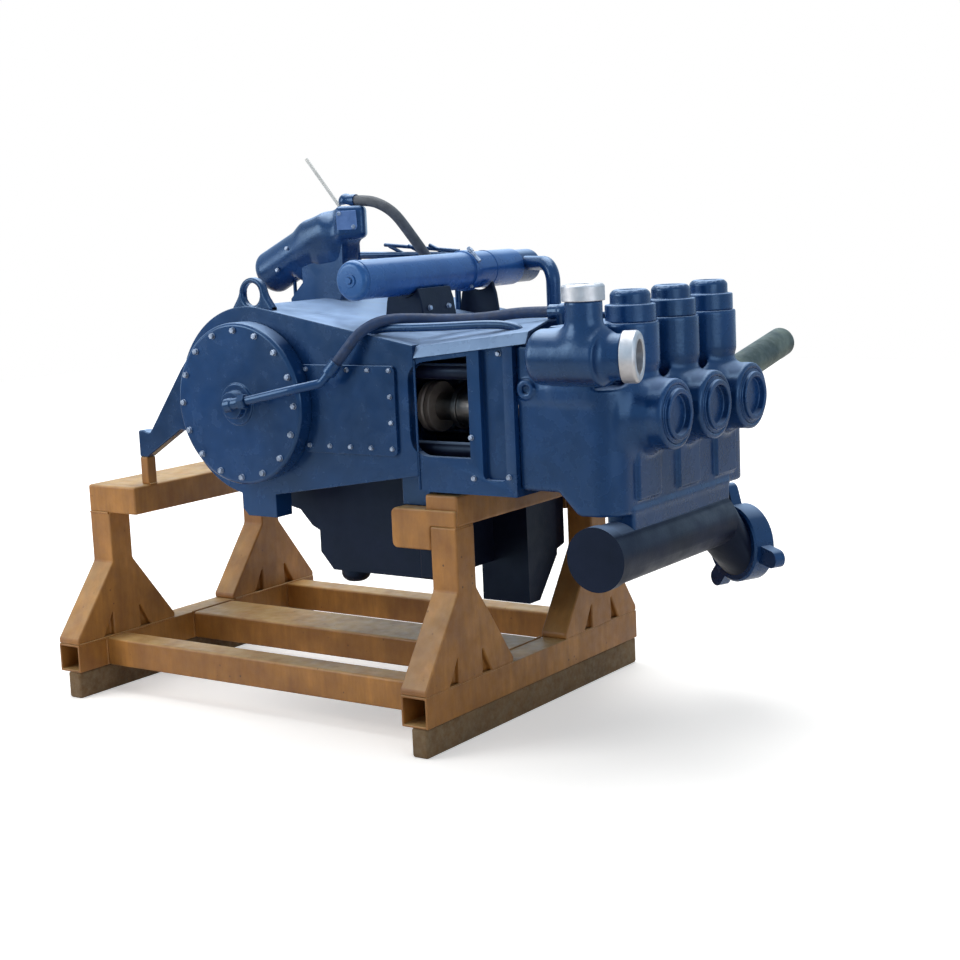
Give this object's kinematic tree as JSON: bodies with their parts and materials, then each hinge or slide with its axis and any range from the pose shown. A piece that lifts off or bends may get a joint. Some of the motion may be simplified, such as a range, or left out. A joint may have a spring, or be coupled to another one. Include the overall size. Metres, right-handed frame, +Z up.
{
  "type": "triplex plunger pump",
  "caption": "Horizontal plunger pump with round crankcase, open crosshead section and block fluid end, on a low welded stand with flared legs.",
  "frame": {"origin": "centre of the bounding box's bottom face, on the floor", "axes": "+X along the plungers from the crankshaft to the fluid end, +Y along the crankshaft, +Z up"},
  "size_m": [1.79, 1.124, 1.4147],
  "materials": {
    "amber_paint": "satin enamel over welded steel, worn",
    "brown_primer": "matt, dirty",
    "blue_paint": "gloss enamel over cast and welded steel",
    "polished_steel": "ground and polished",
    "bare_steel": "machined",
    "phosphate_steel": "phosphated",
    "dark_steel": "oiled",
    "hose_rubber": "matt"
  },
  "bodies": {
    "pump": {"runner_front": "amber_paint", "base_bar_front": "brown_primer", "trestle_front_near": "amber_paint", "trestle_front_far": "amber_paint", "runner_rear": "amber_paint", "base_bar_rear": "brown_primer", "trestle_rear_near": "amber_paint", "trestle_rear_far": "amber_paint", "cross_beam_near": "amber_paint", "cross_beam_middle": "amber_paint", "cross_beam_far": "amber_paint", "top_beam_rear": "amber_paint", "top_beam_front": "amber_paint", "front_arms": "amber_paint", "rear_lugs": "amber_paint", "power_frame": "blue_paint", "rear_feet": "blue_paint", "bearing_cover_near": "blue_paint", "bearing_cover_far": "blue_paint", "side_panels": "blue_paint", "crosshead_frame": "blue_paint", "front_feet": "blue_paint", "stay_rods": "dark_steel", "fluid_end": "blue_paint", "crosshead_cover": "blue_paint", "packing_glands": "dark_steel", "valve_caps": "blue_paint", "front_covers": "blue_paint", "discharge_cross": "blue_paint", "discharge_unions": "bare_steel", "suction_manifold": "blue_paint", "suction_union": "blue_paint", "oil_sump": "blue_paint", "oil_filter": "blue_paint", "filter_head": "blue_paint", "filter_saddle": "blue_paint", "return_elbow": "blue_paint", "lifting_eyes": "blue_paint", "oil_pump_drive": "blue_paint", "drive_bracket": "blue_paint", "dip_rod": "bare_steel", "lube_pipe": "blue_paint", "lube_hose": "hose_rubber", "top_hose": "hose_rubber", "hose_fittings": "blue_paint", "lube_rack": "blue_paint", "far_outlet_stub": "phosphate_steel"},
    "plunger_line_1": {"pony_rod_1": "polished_steel", "plunger_1": "polished_steel"},
    "plunger_line_2": {"pony_rod_2": "polished_steel", "plunger_2": "polished_steel"},
    "plunger_line_3": {"pony_rod_3": "polished_steel", "plunger_3": "polished_steel"}
  },
  "joints": [
    {"name": "plunger_slide_1", "type": "slide", "parent": "pump", "child": "plunger_line_1", "axis": [1, 0, 0], "range_m": [-0.01, 0.1424]},
    {"name": "plunger_slide_2", "type": "slide", "parent": "pump", "child": "plunger_line_2", "axis": [1, 0, 0], "range_m": [-0.01, 0.1424]},
    {"name": "plunger_slide_3", "type": "slide", "parent": "pump", "child": "plunger_line_3", "axis": [1, 0, 0], "range_m": [-0.01, 0.1424]}
  ]
}
